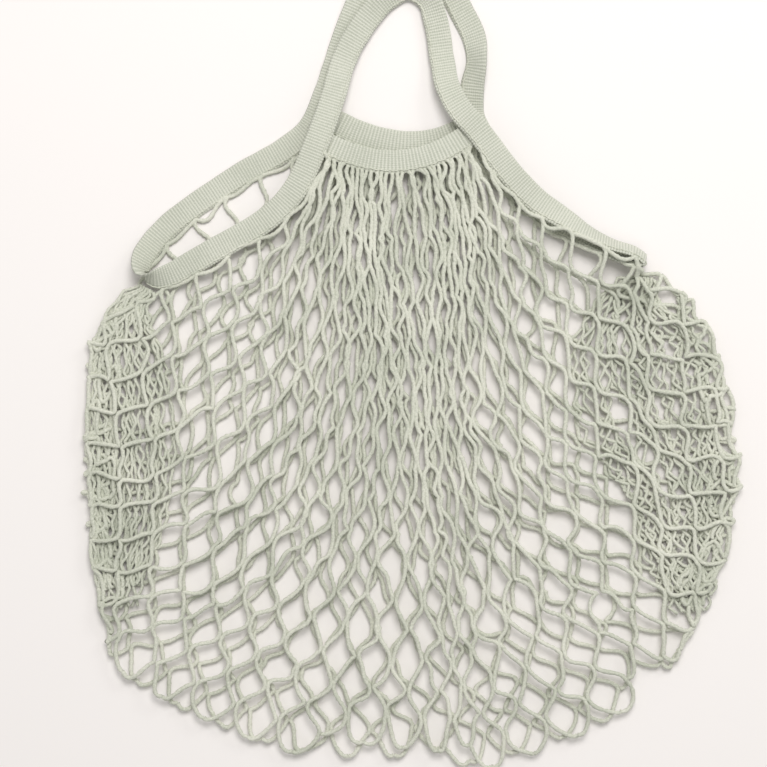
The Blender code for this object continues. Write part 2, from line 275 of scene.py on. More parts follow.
LEFT_BACK_EDGE = (
    (-59, 134.2, 0, 141, 0),
    (-71, 123.4, 0, 125, 0),
    (-99, 107, 0, 122, 0),
    (-128.4, 87.2, 0, 127, 0),
    (-141, 77.2, 0, 133, 2),
)
LEFT_FOLD = (
    (-150.2, 66.6, 0.5, 146, 12),
    (-155.4, 57.6, 1.8, 162, 33),
    (-155.8, 50.4, 3, 160, 54),
)

# The mouth bands' centre lines in plan, from end to end, in rows of x and y.
FRONT_BAND = (
    (-57, 128.2),
    (-38.6, 119.8),
    (-25.3, 115.8),
    (-10.9, 114.3),
    (4, 116.2),
    (18, 121.2),
    (37.5, 133),
)
BACK_BAND = (
    (-55.5, 143.6),
    (-42.6, 138),
    (-32.8, 133.2),
    (-17.9, 128.4),
    (-3.5, 126.2),
    (11.5, 127.2),
    (24, 131.4),
    (36.5, 138.8),
)

# The line in plan over which the net folds from front to back, from the left side round the bottom to
# the right side.
NET_OUTLINE = (
    (-151, 41),
    (-160, 38),
    (-177, 26),
    (-187, 6),
    (-189.4, -26),
    (-189.6, -92),
    (-184, -126),
    (-168.5, -181),
    (-152, -197),
    (-104, -216.5),
    (-62, -224.5),
    (-30, -229),
    (10, -235),
    (46, -232.5),
    (78, -221.5),
    (108, -211.5),
    (136, -188),
    (160, -160),
    (180, -118),
    (189.5, -82),
    (188.6, -36),
    (175, 13),
    (159, 39.5),
    (143, 49.5),
    (134.5, 53.5),
)

# The net's sides, tucked in between the layers and gathered: the middle of each bundle's x and y, and half
# its width.
LEFT_GATHERS = (
    (-153, 42, 5),
    (-164, 24, 13),
    (-165, 0, 21),
    (-162.5, -30, 25),
    (-162, -62, 25),
    (-163, -90, 22),
    (-167, -118, 15),
    (-167, -142, 9),
)
RIGHT_GATHERS = (
    (136, 48, 5),
    (129, 32, 22),
    (128, 12, 36),
    (132, -14, 40),
    (142, -45, 36),
    (152, -75, 29),
    (157, -105, 24),
    (160, -128, 17),
    (162, -145, 10),
)


# -------- curves and meshes
def smooth(value):
    value = np.clip(value, 0.0, 1.0)
    return value * value * (3.0 - 2.0 * value)


def mix(a, b, share):
    return a + (b - a) * share


def rise(value, start, over):
    """0 up to the start, then smoothly up to 1 over a length."""
    return smooth((value - start) / over)


def unit(vectors):
    return vectors / np.maximum(np.linalg.norm(vectors, axis=-1, keepdims=True), 1e-9)


def plan_noise(points, wavelength, seed, draw=noise.noise):
    """Noise at each point in plan, a number unless another kind of noise is drawn."""
    return np.array([draw(Vector((x / wavelength, y / wavelength, seed))) for x, y in points])


def hermite(t, start, start_slope, end, end_slope):
    """Points of a cubic that leaves its start and reaches its end with the given slopes."""
    return (
        start * (2 * t**3 - 3 * t**2 + 1)
        + start_slope * (t**3 - 2 * t**2 + t)
        + end * (3 * t**2 - 2 * t**3)
        + end_slope * (t**3 - t**2)
    )


def spline(rows, closed, steps):
    """Points of a smooth curve through the rows, with `steps` of them from each row to the next."""
    rows = np.array(rows, float)
    count = len(rows)
    around = np.arange(-1, count + 2)
    rows_at = rows[around % count] if closed else rows[np.clip(around, 0, count - 1)]
    steps_between = np.diff(rows_at, axis=0)
    chords = np.maximum(1e-6, np.linalg.norm(steps_between[:, :2], axis=1))[:, None]
    slopes = steps_between / chords
    tangents = (slopes[:-1] + slopes[1:]) / 2
    if not closed:
        tangents[0], tangents[count - 1] = slopes[1], slopes[count - 1]
    t = (np.arange(steps) / steps)[:, None]
    points = []
    for k in range(count if closed else count - 1):
        length = chords[k + 1]
        following = (k + 1) % count if closed else k + 1
        slopes_at = tangents[k] * length, tangents[following] * length
        points.append(hermite(t, rows_at[k + 1], slopes_at[0], rows_at[k + 2], slopes_at[1]))
    if not closed:
        points.append(rows[-1:])
    return np.concatenate(points)


def arc_lengths(points):
    steps = np.linalg.norm(np.diff(points, axis=0), axis=1)
    return np.concatenate([[0.0], np.cumsum(steps)])


def at_lengths(points, lengths, wanted):
    return np.stack([np.interp(wanted, lengths, points[:, k]) for k in range(points.shape[1])], axis=1)


def tube_mesh(name, tubes, round_it, closed, material):
    """One mesh of tubes. Each tube is its rings, (stations, sides, 3) in millimetres, and where each ring is
    along it, for the texture, which runs along the tubes in u and round them in v."""
    sides = len(round_it)
    corner = np.arange(sides)
    loops, sizes, spots, first = [], [], [], 0
    for rings, along in tubes:
        number = first + np.arange(len(rings) * sides).reshape(len(rings), sides)
        first += number.size
        following = np.roll(number, -1, axis=0) if closed else number[1:]
        start = number if closed else number[:-1]
        turned = np.roll(corner, -1)
        quads = np.stack([start, start[:, turned], following[:, turned], following], axis=-1)
        loops.append(quads.ravel())
        sizes.append(np.full(quads.size // 4, 4))
        if not closed:
            loops += [number[0, ::-1], number[-1]]
            sizes.append(np.full(2, sides))
        places = np.broadcast_arrays(along[:, None], round_it[None])
        spots.append(np.stack(places, axis=-1).reshape(-1, 2))
    verts = np.concatenate([rings.reshape(-1, 3) for rings, _ in tubes]) * MM
    loops, sizes, spots = np.concatenate(loops), np.concatenate(sizes), np.concatenate(spots)
    mesh = bpy.data.meshes.new(name)
    mesh.vertices.add(len(verts))
    mesh.vertices.foreach_set("co", verts.astype(np.float32).ravel())
    mesh.loops.add(len(loops))
    mesh.loops.foreach_set("vertex_index", loops.astype(np.int32))
    mesh.polygons.add(len(sizes))
    mesh.polygons.foreach_set("loop_start", (np.cumsum(sizes) - sizes).astype(np.int32))
    mesh.update(calc_edges=True)
    mesh.polygons.foreach_set("use_smooth", np.ones(len(sizes), bool))
    layer = mesh.uv_layers.new(name="run")
    layer.data.foreach_set("uv", spots[loops].astype(np.float32).ravel())
    mesh.materials.append(material)
    obj = bpy.data.objects.new(name, mesh)
    bpy.context.scene.collection.objects.link(obj)
    return obj


# -------- tape and bands
class Ribbon:
    """Closely spaced stations of a strip: centres, the way along, to the free edge, and out of its face."""

    def __init__(self, centres, across, closed):
        self.closed = closed
        self.centres = centres
        if closed:
            along = np.roll(centres, -1, axis=0) - np.roll(centres, 1, axis=0)
        else:
            along = np.gradient(centres, axis=0)
        self.along = unit(along)
        self.across = unit(across - self.along * np.sum(across * self.along, axis=1, keepdims=True))
        self.face = np.cross(self.along, self.across)
        looped = np.concatenate([centres, centres[:1]]) if closed else centres
        self.lengths = arc_lengths(looped)

    def resampled(self, spacing):
        """The same strip with evenly spaced stations, and where they are along it."""
        total = self.lengths[-1]
        count = int(round(total / spacing))
        wanted = np.arange(count) * total / count if self.closed else np.linspace(0, total, count + 1)
        rows = [self.centres, self.across]
        if self.closed:
            rows = [np.concatenate([row, row[:1]]) for row in rows]
        centres, across = [at_lengths(row, self.lengths, wanted) for row in rows]
        return Ribbon(centres, across, self.closed), wanted

    def stretch(self, first, last, flip=False):
        """The strip between two station numbers, turned end for end if asked. It faces the same way."""
        numbers = np.arange(first, last) % len(self.centres)
        if flip:
            numbers = numbers[::-1]
        part = Ribbon(self.centres[numbers], self.across[numbers], False)
        part.across = self.across[numbers]
        return part


def tape_ribbon():
    """The loop of tape, and the number of the station where each of its stretches starts."""
    stretches = {
        "left front edge": LEFT_FRONT_EDGE,
        "front handle": FRONT_HANDLE,
        "right front edge": RIGHT_FRONT_EDGE,
        "right fold": RIGHT_FOLD,
        "right back edge": RIGHT_BACK_EDGE,
        "back handle": BACK_HANDLE,
        "left back edge": LEFT_BACK_EDGE,
        "left fold": LEFT_FOLD,
    }
    steps, rows, starts = 10, [], {}
    for stretch, its_rows in stretches.items():
        starts[stretch] = len(rows) * steps
        rows += its_rows
    x, y, lift, facing, slope = spline(rows, closed=True, steps=steps).T
    facing, slope = np.radians(facing), np.radians(slope)
    low_edge = TAPE_WIDTH / 2 * np.abs(np.sin(slope)) + TAPE_THICKNESS / 2 * np.cos(slope)
    centres = np.stack([x, y, np.maximum(lift, 0.0) + low_edge], axis=1)
    level = np.cos(slope)
    across = np.stack([np.cos(facing) * level, np.sin(facing) * level, np.sin(slope)], axis=1)
    return Ribbon(centres, across, True), starts


def band_ribbon(rows, height, shift=0.0):
    """A band along its centre line, or moved to its free side by a shift."""
    plan = spline(rows, closed=False, steps=8)
    centres = np.column_stack([plan, np.full(len(plan), height)])
    across = unit(np.cross(UP, np.gradient(centres, axis=0)))
    return Ribbon(centres + across * shift, across, False)


def make_ribbed(name, ribbon, width, thickness, pitch, material):
    """A knitted strip: ribs run across it, and its two edges are the ribs' rounded ends."""
    fine, lengths = ribbon.resampled(pitch / STATIONS_PER_RIB)
    turns = lengths / pitch
    if ribbon.closed:
        turns = turns * round(ribbon.lengths[-1] / pitch) / (ribbon.lengths[-1] / pitch)
    rib = 0.5 + 0.5 * np.cos(2 * np.pi * turns)
    half, face = width / 2, thickness / 2
    # The strip's cross-section: places from edge to edge, and how much of its thickness it has at each.
    places = np.array((-1.0, -0.97, -0.86, -0.62, -0.3, 0.0, 0.3, 0.62, 0.86, 0.97, 1.0))
    crown = np.array((0.0, 0.55, 0.9, 1.0, 1.0, 1.0, 1.0, 1.0, 0.9, 0.55, 0.0))
    edge_places = [Vector((s * EDGE_WAVES_PER_MM, 3.7, width)) for s in lengths]
    unevenness = np.array([noise.noise(place) for place in edge_places])
    ring = []
    for side in (1.0, -1.0):
        for place, full in list(zip(places[::-1] if side > 0 else places, crown))[:-1]:
            bulge = RIB_END_BULGE * rib * abs(place)
            reach = place * (half - RIB_END_INSET + bulge + EDGE_UNEVENNESS * unevenness * place)
            bow = full * (face - RIB_HEIGHT / 2 + RIB_HEIGHT * (rib - 0.25))
            ring.append(fine.centres + fine.across * reach[:, None] + fine.face * (side * bow)[:, None])
    rings = np.stack(ring, axis=1)
    rings[..., 2] = np.maximum(rings[..., 2], LEAST_HEIGHT)
    round_it = arc_lengths(rings[0])
    return tube_mesh(name, [(rings, turns)], round_it, ribbon.closed, material)


def make_stitches(name, ribbon, width, thickness, material):
    """A line of stitches on each face of a strip, inside its sewn edge: a thread that dips in and out."""
    fine, lengths = ribbon.resampled(STITCH / STATIONS_PER_STITCH)
    total = ribbon.lengths[-1]
    phase = 2 * np.pi * lengths * round(total / STITCH) / total
    corners = np.arange(THREAD_SIDES) * np.pi / (THREAD_SIDES / 2)
    across, out = np.cos(corners)[None, :, None], np.sin(corners)[None, :, None]
    tubes = []
    for side in (1.0, -1.0):
        height = side * (thickness / 2 + STITCH_PROUD + STITCH_SWAY * np.sin(phase))
        sway = -width / 2 + STITCH_INSET + STITCH_SWAY * np.sin(phase / 2 + side)
        path = fine.centres + fine.across * sway[:, None] + fine.face * height[:, None]
        path[:, 2] = np.maximum(path[:, 2], THREAD_RADIUS)
        ring = across * fine.across[:, None] + out * fine.face[:, None]
        tubes.append((path[:, None] + THREAD_RADIUS * ring, lengths))
    return tube_mesh(name, tubes, corners * THREAD_RADIUS, ribbon.closed, material)


# -------- the net
def stated_gaps(record):
    """The gaps that the part states through both layers of its net, as rows of x, y and radius."""
    rows = []
    for opening in record["physics"]["openings"]:
        if opening["name"].startswith("net_gap"):
            low, high = np.array(opening["box_m"])[:, :2] / MM
            rows.append((*(low + high) / 2, math.sqrt(np.prod(high - low)) / 2))
    return np.array(rows)


NET_GAPS = stated_gaps(frame["record"])


def sewn(h, j):
    """Whether the crossing of this half column and row is on the tape."""
    return 0 <= j <= SEWN_ROWS and h in (-j, 2 * MOUTH_COLUMNS + j)


def sewn_line(ribbon, width):
    """Where the net hangs from a strip: just inside its sewn edge."""
    return ribbon.centres + ribbon.across * (SEAM_INSET - width / 2)


def cut_together(first, second):
    """Cuts two lines where they pass closest in plan, so that the second goes on from the first."""
    apart = np.linalg.norm(first[:, None, :2] - second[None, :, :2], axis=2)
    end, start = np.unravel_index(apart.argmin(), apart.shape)
    return first[: end + 1], second[start:]


class Layer:
    """One layer of the net. Its half columns fan out from the mouth band about a point above it, and one
    more starts at each side for every row, where the net is sewn to the tape by the side of a mesh. The
    columns crowd about a centre, a share from -1 at the net's left edge to 1 at its right edge."""

    def __init__(
        self, fan, strips, height, roughness, seed, crowding, crowd_centre, mesh_side, drawn_to_gaps
    ):
        tape_left, band, tape_right = strips
        left, middle = cut_together(sewn_line(tape_left, TAPE_WIDTH), sewn_line(band, BAND_WIDTH))
        middle, right = cut_together(middle, sewn_line(tape_right, TAPE_WIDTH))
        self.fan = np.array(fan)
        self.height, self.roughness = height, roughness
        self.seed = seed
        self.crowding, self.crowd_centre = crowding, crowd_centre
        self.mesh_side = mesh_side
        self.chain = np.concatenate([left, middle, right])
        self.left, self.middle, self.right = self.polar(left), self.polar(middle), self.polar(right)
        self.sewn_left, self.sewn_right = self.sewn_knots(left[::-1]), self.sewn_knots(right)
        outline = spline(NET_OUTLINE, closed=False, steps=6)
        self.border = np.concatenate([outline, self.chain[::-1, :2]])
        self.crossings = self.lined_up(self.relaxed(self.lattice()), drawn_to_gaps)

    def sewn_knots(self, line):
        """Points in plan, one for each row, where the net is sewn to the tape from the mouth outward."""
        lengths = arc_lengths(line[:, :2])
        wanted = np.arange(SEWN_ROWS + 1) * lengths[-1] / (SEWN_ROWS + SEWN_END)
        return at_lengths(line[:, :2], lengths, wanted)

    def polar(self, points):
        """Radius and angle about the fan's point, in order of radius."""
        apart = points[:, :2] - self.fan
        radius = np.linalg.norm(apart, axis=1)
        angle = np.degrees(np.arctan2(apart[:, 1], apart[:, 0])) % 360.0
        order = np.argsort(radius)
        return radius[order], angle[order]

    def side_angles(self, radius):
        """The angles of the net's left and right edges at a radius: along the tapes, then on."""
        left = np.interp(radius, *self.left)
        right = np.interp(radius, *self.right)
        last_left, last_right = self.left[0][-1], self.right[0][-1]
        left = mix(left, SIDE_ANGLES[0], rise(radius, last_left, SIDE_TURN))
        right = mix(right, SIDE_ANGLES[1], rise(radius, last_right, SIDE_TURN))
        return left, right

    def angles(self, share, radius):
        """The angle of a column at a radius. Share is -1 at the left edge and 1 at the right edge."""
        left, right = self.side_angles(radius)
        tight = self.crowding * rise(radius, *CROWD_STARTS) * (1.0 - CROWD_LOSS * rise(radius, *CROWD_ENDS))
        tight = tight - SPREAD_SHARE * rise(radius, *SPREAD_STARTS) * (1.0 - rise(radius, *SPREAD_ENDS))
        side = share - self.crowd_centre
        reach = np.where(side > 0, 1.0 - self.crowd_centre, 1.0 + self.crowd_centre)
        side = side / reach
        spread = self.crowd_centre + reach * (side * (1.0 - tight) + tight * side * np.abs(side))
        return mix(left, right, (spread + 1.0) / 2.0)

    def lattice(self):
        """A first guess at the crossings in plan, indexed by half column and row."""
        shares = np.linspace(-1.0, 1.0, SHARE_SAMPLES)
        by_angle = np.argsort(self.middle[1])
        band_angles, band_radii = self.middle[1][by_angle], self.middle[0][by_angle]
        # The columns' angles at the band depend on its radius there, so both settle in turns.
        radius = np.full(len(shares), FIRST_RADIUS)
        for _ in range(3):
            radius = np.interp(self.angles(shares, radius), band_angles, band_radii)
        halves = np.arange(-SIDE_ROWS, 2 * MOUTH_COLUMNS + SIDE_ROWS + 1)
        rows = []
        for j in range(NET_ROWS + 1):
            half_width = MOUTH_COLUMNS + min(j, SIDE_ROWS)
            pulled = radius.copy()
            for side, ties in ((-1.0, self.sewn_left), (1.0, self.sewn_right)):
                if j <= SIDE_ROWS:
                    beyond = (ties[-1] - ties[-2]) * max(0, j - SEWN_ROWS)
                    reach = np.linalg.norm(ties[min(j, SEWN_ROWS)] + beyond - self.fan)
                    held = np.exp(-np.abs(side - shares) * half_width / SEWN_HOLD)
                    pulled += held * (reach - radius[0 if side < 0 else -1])
            share = np.clip((halves - MOUTH_COLUMNS) / half_width, -1.0, 1.0)
            at_radius = np.interp(share, shares, pulled)
            angle = np.radians(self.angles(share, at_radius))
            rows.append(self.fan + np.stack([at_radius * np.cos(angle), at_radius * np.sin(angle)], axis=1))
            fan_angles = np.radians(self.angles(shares, radius))
            across = radius * np.gradient(fan_angles, shares) / half_width
            # A row is as deep as a mesh's side allows at its width, and at least half as deep as that side.
            row_depth = np.maximum(self.mesh_side**2 - across**2, (0.5 * self.mesh_side) ** 2)
            radius = radius + np.sqrt(row_depth)
        points = np.stack(rows, axis=1)
        return points + self.drift(points)

    def exists(self, h, j):
        """Whether the net has this half column in this row."""
        return 0 <= j <= NET_ROWS and -min(j, SIDE_ROWS) <= h <= 2 * MOUTH_COLUMNS + min(j, SIDE_ROWS)

    def relaxed(self, guess):
        """Moves the crossings until every yarn between two of them has nearly its own length."""
        points = guess.copy()
        for j in range(SEWN_ROWS + 1):
            points[SIDE_ROWS - j, j] = self.sewn_left[j]
            points[SIDE_ROWS + 2 * MOUTH_COLUMNS + j, j] = self.sewn_right[j]
        columns, rows, _ = points.shape
        number = np.arange(columns * rows).reshape(columns, rows)
        pinned, pairs = [], []
        for j in range(rows):
            for h in range(-SIDE_ROWS, 2 * MOUTH_COLUMNS + SIDE_ROWS + 1):
                if (h + j) % 2 or not self.exists(h, j):
                    continue
                if j == 0 or sewn(h, j):
                    pinned.append(number[h + SIDE_ROWS, j])
                for lean in (-1, 1):
                    if self.exists(h + lean, j + 1):
                        pairs.append((number[h + SIDE_ROWS, j], number[h + lean + SIDE_ROWS, j + 1]))
        first, second = np.array(pairs).T
        flat = points.reshape(-1, 2)
        degree = np.maximum(1, np.bincount(np.concatenate([first, second]), minlength=len(flat)))[:, None]
        free = np.ones((len(flat), 1))
        free[pinned] = 0.0
        for _ in range(RELAX_STEPS):
            apart = flat[second] - flat[first]
            length = np.maximum(1e-6, np.linalg.norm(apart, axis=1))
            wanted = np.clip(length, SHORTEST_SIDE * self.mesh_side, self.mesh_side)
            push = apart * ((length - wanted) / length * 0.5)[:, None]
            moved = np.zeros_like(flat)
            for axis in (0, 1):
                onward = np.bincount(first, push[:, axis], len(flat))
                back = np.bincount(second, push[:, axis], len(flat))
                moved[:, axis] = onward - back
            flat = flat + free * moved * RELAX_PUSH / degree
        return flat.reshape(points.shape)

    def lined_up(self, points, most):
        """Shifts the crossings a little, so that the middle of a mesh comes to lie on each stated gap."""
        spots = NET_GAPS[:, :2]
        columns, rows, _ = points.shape
        there = np.array([[self.exists(h - SIDE_ROWS, j) for j in range(rows)] for h in range(columns)])
        whole = there[:-2, 1:-1] & there[2:, 1:-1] & there[1:-1, :-2] & there[1:-1, 2:]
        h, j = np.nonzero(whole)
        odd = (h + 1 - SIDE_ROWS + j + 1) % 2 == 1
        h, j = h[odd] + 1, j[odd] + 1
        free = smooth(np.arange(rows) / GAP_ROWS)[None, :, None] * np.ones((columns, 1, 1))
        for row in range(SEWN_ROWS + 1):
            free[[SIDE_ROWS - row, SIDE_ROWS + 2 * MOUTH_COLUMNS + row], row] = 0.0
        for _ in range(GAP_PASSES):
            middles = (points[h - 1, j] + points[h + 1, j] + points[h, j - 1] + points[h, j + 1]) / 4
            apart = spots[:, None] - middles[None]
            distance = np.linalg.norm(apart, axis=2)
            pick = distance.argmin(axis=1)
            close = distance.min(axis=1) < GAP_REACH
            move = (apart[np.arange(len(spots)), pick] * close[:, None])[close]
            centres = middles[pick][close]
            away = np.linalg.norm(points[:, :, None] - centres, axis=3)
            weights = most * np.exp(-((away / GAP_PULL) ** 2))
            share = np.sum(weights, axis=2, keepdims=True)
            moved = np.einsum("hjk,kx->hjx", weights, move) / np.maximum(share, 1.0)
            points = points + free * moved
        return points

    def at_side(self, foot):
        """1 at the net's sides, where it is tucked in, and 0 along its bottom, where it ends in loops."""
        return rise(foot[..., 1], *SIDES_START)

    def drift(self, points):
        """Unevenness of a net laid down by hand, none at the band."""
        moved = np.zeros_like(points)
        for j in range(points.shape[1]):
            for wavelength, reach, seed in DRIFTS:
                pushes = plan_noise(points[:, j], wavelength, self.seed + seed, noise.noise_vector)
                moved[:, j] += reach * pushes[:, :2]
            moved[:, j] *= min(1.0, j / DRIFT_ROWS)
        return moved

    def strands(self):
        """Lists of (half column, row) along each yarn, with the half column to its left. A yarn zigzags
        between two neighbouring half columns and touches the next yarn at each crossing. It starts at the
        band or the tape, and is cut where it would be tucked in too far."""
        _, signed, foot = self.folded(self.crossings.reshape(-1, 2))
        side = self.at_side(foot)
        kept = (signed > -mix(KEPT_BELOW, KEPT_TUCKED, side)).reshape(self.crossings.shape[:2])
        low = (side < 0.5).reshape(kept.shape)
        for j in range(1, NET_ROWS + 1):
            both = kept[:-2, j - 1] & kept[2:, j - 1]
            kept[1:-1, j] &= both | ~low[1:-1, j]
        found = []
        for gap in range(-SIDE_ROWS, 2 * MOUTH_COLUMNS + SIDE_ROWS):
            run = []
            for j in range(NET_ROWS + 1):
                h = gap + (gap + j) % 2
                if not self.exists(h, j):
                    continue
                if not kept[h + SIDE_ROWS, j]:
                    found.append((gap, run))
                    run = []
                    continue
                run.append((h, j))
            found.append((gap, run))
        return [(gap, run) for gap, run in found if len(run) > 1]

    def folded(self, points):
        """Folds the net over its border line: what lies beyond comes back in between the layers. Gives the
        points, how far inside the border they were, and the border's nearest point."""
        border = self.border
        starts, ends = border, np.roll(border, -1, axis=0)
        way = ends - starts
        length = np.maximum(1e-9, np.sum(way * way, axis=1))
        apart = points[:, None, :] - starts[None]
        along = np.clip(np.sum(apart * way[None], axis=2) / length, 0.0, 1.0)
        nearest = starts[None] + along[:, :, None] * way[None]
        distance = np.linalg.norm(points[:, None, :] - nearest, axis=2)
        pick = distance.argmin(axis=1)
        rows = np.arange(len(points))
        foot, distance = nearest[rows, pick], distance[rows, pick]
        crosses = (starts[None, :, 1] > points[:, None, 1]) != (ends[None, :, 1] > points[:, None, 1])
        climb = np.where(np.abs(way[:, 1]) < 1e-9, 1e-9, way[:, 1])
        at_x = starts[None, :, 0] + (points[:, None, 1] - starts[None, :, 1]) * way[None, :, 0] / climb
        inside = (np.sum(crosses & (points[:, None, 0] < at_x), axis=1) % 2) == 1
        normal = unit(np.stack([-way[:, 1], way[:, 0]], axis=1))[pick]
        inward = (points - foot) * np.where(inside, 1.0, -1.0)[:, None]
        inward = np.where(distance[:, None] > 0.5, unit(inward), normal)
        side = self.at_side(foot)
        tucked = SIDE_TUCK * (1.0 - np.exp(-TUCK_SQUEEZE * distance / SIDE_TUCK))
        depth = np.where(inside, distance, mix(-np.minimum(distance, LOOP_OVERSHOOT), tucked, side))
        rounded = mix(depth, np.sqrt(depth**2 + FOLD_RADIUS**2) - FOLD_RADIUS, side)
        uneven = rounded + FOLD_INSET + FOLD_UNEVENNESS * plan_noise(foot, FOLD_WAVE, self.seed + 20.0)
        depth = mix(depth, mix(uneven, depth, rise(depth, *FOLD_DEPTH)), side)
        signed = np.where(inside, distance, -distance)
        on_outline = pick < len(self.border) - len(self.chain)
        placed = np.where(on_outline[:, None], foot + inward * depth[:, None], points)
        return placed, np.where(on_outline, signed, WELL_INSIDE), foot

    def heights(self, points, signed, strand_seed):
        """Height of the yarn's middle: level with the seams, then loose, and low where it is tucked in."""
        apart = np.linalg.norm(points[:, None, :] - self.chain[None, :, :2], axis=2)
        nearest = apart.argmin(axis=1)
        from_chain = apart[np.arange(len(points)), nearest]
        rough = plan_noise(points, ROUGH_WAVE, self.seed + 9.0)
        level = self.height + rough * self.roughness
        gathered = np.exp(-((points[:, 0] / GATHERED_WIDTH) ** 2)) * rise(points[:, 1], *GATHERED_STARTS)
        together = GATHERED_HEIGHT + GATHERED_SPREAD * (self.height - MIDDLE_HEIGHT) + rough
        level = mix(level, together, GATHERED_SHARE * gathered)
        level = mix(self.chain[nearest, 2], level, smooth(from_chain / SEAM_REACH))
        tucked = TUCKED_ROUGHNESS * plan_noise(points, TUCKED_WAVE, strand_seed)
        inner = mix(MIDDLE_HEIGHT, self.height, TUCKED_SPREAD) + tucked
        return mix(inner, level, rise(signed, *TUCKED_STARTS))


def opened(points):
    """Moves yarn out of the stated gaps, so that it bends round them."""
    for x, y, radius in NET_GAPS:
        apart = points - (x, y)
        distance = np.maximum(np.linalg.norm(apart, axis=1, keepdims=True), 0.01)
        reach = (radius + YARN_RADIUS) / GAP_OPENING
        points = points + apart / distance * reach * np.exp(-((distance / (GAP_BLUR * reach)) ** 2))
    return points


def yarn_tube(path, seed, thick=YARN_RADIUS):
    """Rings of a two-ply twisted yarn along a path, and the lengths along it."""
    along = unit(np.gradient(path, axis=0))
    side = unit(np.cross(along, UP))
    above = np.cross(side, along)
    lengths = arc_lengths(path)
    corners = np.arange(YARN_SIDES) * 2 * np.pi / YARN_SIDES
    turned = corners - (lengths / YARN_TURN * 2 * np.pi)[:, None]
    plies = PLY_LEAST + PLY_CROWN * np.abs(np.cos(turned)) ** PLY_SHARPNESS
    lumps = np.array([noise.noise(Vector((length / LUMP_LENGTH, seed, 0.5))) for length in lengths])
    radius = thick * plies * (1.0 + YARN_LUMPS * lumps[:, None])
    spokes = side[:, None] * np.cos(corners)[:, None] + above[:, None] * np.sin(corners)[:, None]
    return path[:, None] + radius[..., None] * spokes, lengths


def yarn_line(layer, gap, strand):
    """A yarn's line in plan before the net is folded: it bends beside each crossing, so that it only
    touches its neighbour there."""
    t = (np.arange(EDGE_STATIONS) / EDGE_STATIONS)[:, None]
    cells = np.array(strand)
    middles = layer.crossings[cells[:, 0] + SIDE_ROWS, cells[:, 1]]
    way = np.gradient(middles, axis=0)
    if strand[0][1] == 0:
        way[0] = unit(middles[0] - layer.fan) * FIRST_REACH * MESH_SIDE
    right = unit(np.stack([-way[:, 1], way[:, 0]], axis=1))
    beside = np.where(cells[:, 0] == gap, SIDE_BY_SIDE, -SIDE_BY_SIDE)
    beside[-1] = 0.0
    beside[0] *= START_APART
    if strand[0][1] > 0:
        beside[0] = 0.0
        if sewn(*strand[1]):
            beside[1] = 0.0
    knots = middles + right * beside[:, None]
    edges = np.diff(knots, axis=0)
    tangents = way * TANGENT_REACH
    # A yarn ends by turning into the next one, which makes a loop.
    tangents[-1] = right[-1] * LOOP_REACH * MESH_SIDE * (1.0 if strand[-1][0] > gap else -1.0)
    slack = right[0] * (SEWN_SLACK if gap < 0 else -SEWN_SLACK)
    path = []
    for k in range(len(knots) - 1):
        spot = Vector((knots[k][0] / BEND_WAVE, knots[k][1] / BEND_WAVE, layer.seed + gap))
        sideways = np.array((-edges[k][1], edges[k][0]))
        path.append(
            hermite(t, knots[k], tangents[k], knots[k + 1], tangents[k + 1])
            + sideways * BEND * noise.noise(spot) * np.sin(np.pi * t)
            + sideways * DOUBLE_BEND * noise.noise(spot * DOUBLE_BEND_PACE) * np.sin(2 * np.pi * t)
            + (slack * np.sin(np.pi * t) if sewn(*strand[k]) and sewn(*strand[k + 1]) else 0.0)
        )
    return np.concatenate([*path, knots[-1:]])


def make_net(name, layer, gaps, material):
    """The yarns of one layer that run in these gaps between half columns, as one mesh."""
    tubes, sides_of_mesh = [], 0
    for number, (gap, strand) in enumerate(layer.strands()):
        if gap not in gaps:
            continue
        sides_of_mesh += len(strand) - 1
        path = yarn_line(layer, gap, strand)
        placed, signed, _ = layer.folded(path)
        tangle = smooth(-signed / TANGLE_OVER)[:, None]
        wander = plan_noise(path, TANGLE_WAVE, number, noise.noise_vector)
        placed = opened(placed + TANGLE * tangle * wander[:, :2])
        lie = plan_noise(path, LIE_WAVE, 30.0 + number)
        height = layer.heights(placed, signed, number * 0.37) + LIE * lie
        raised = np.column_stack([placed, np.maximum(height, LEAST_YARN_HEIGHT)])
        tubes.append(yarn_tube(raised, number + 50.0 * layer.seed))
    net = tube_mesh(name, tubes, ROUND_THE_YARN, False, material)
    return net


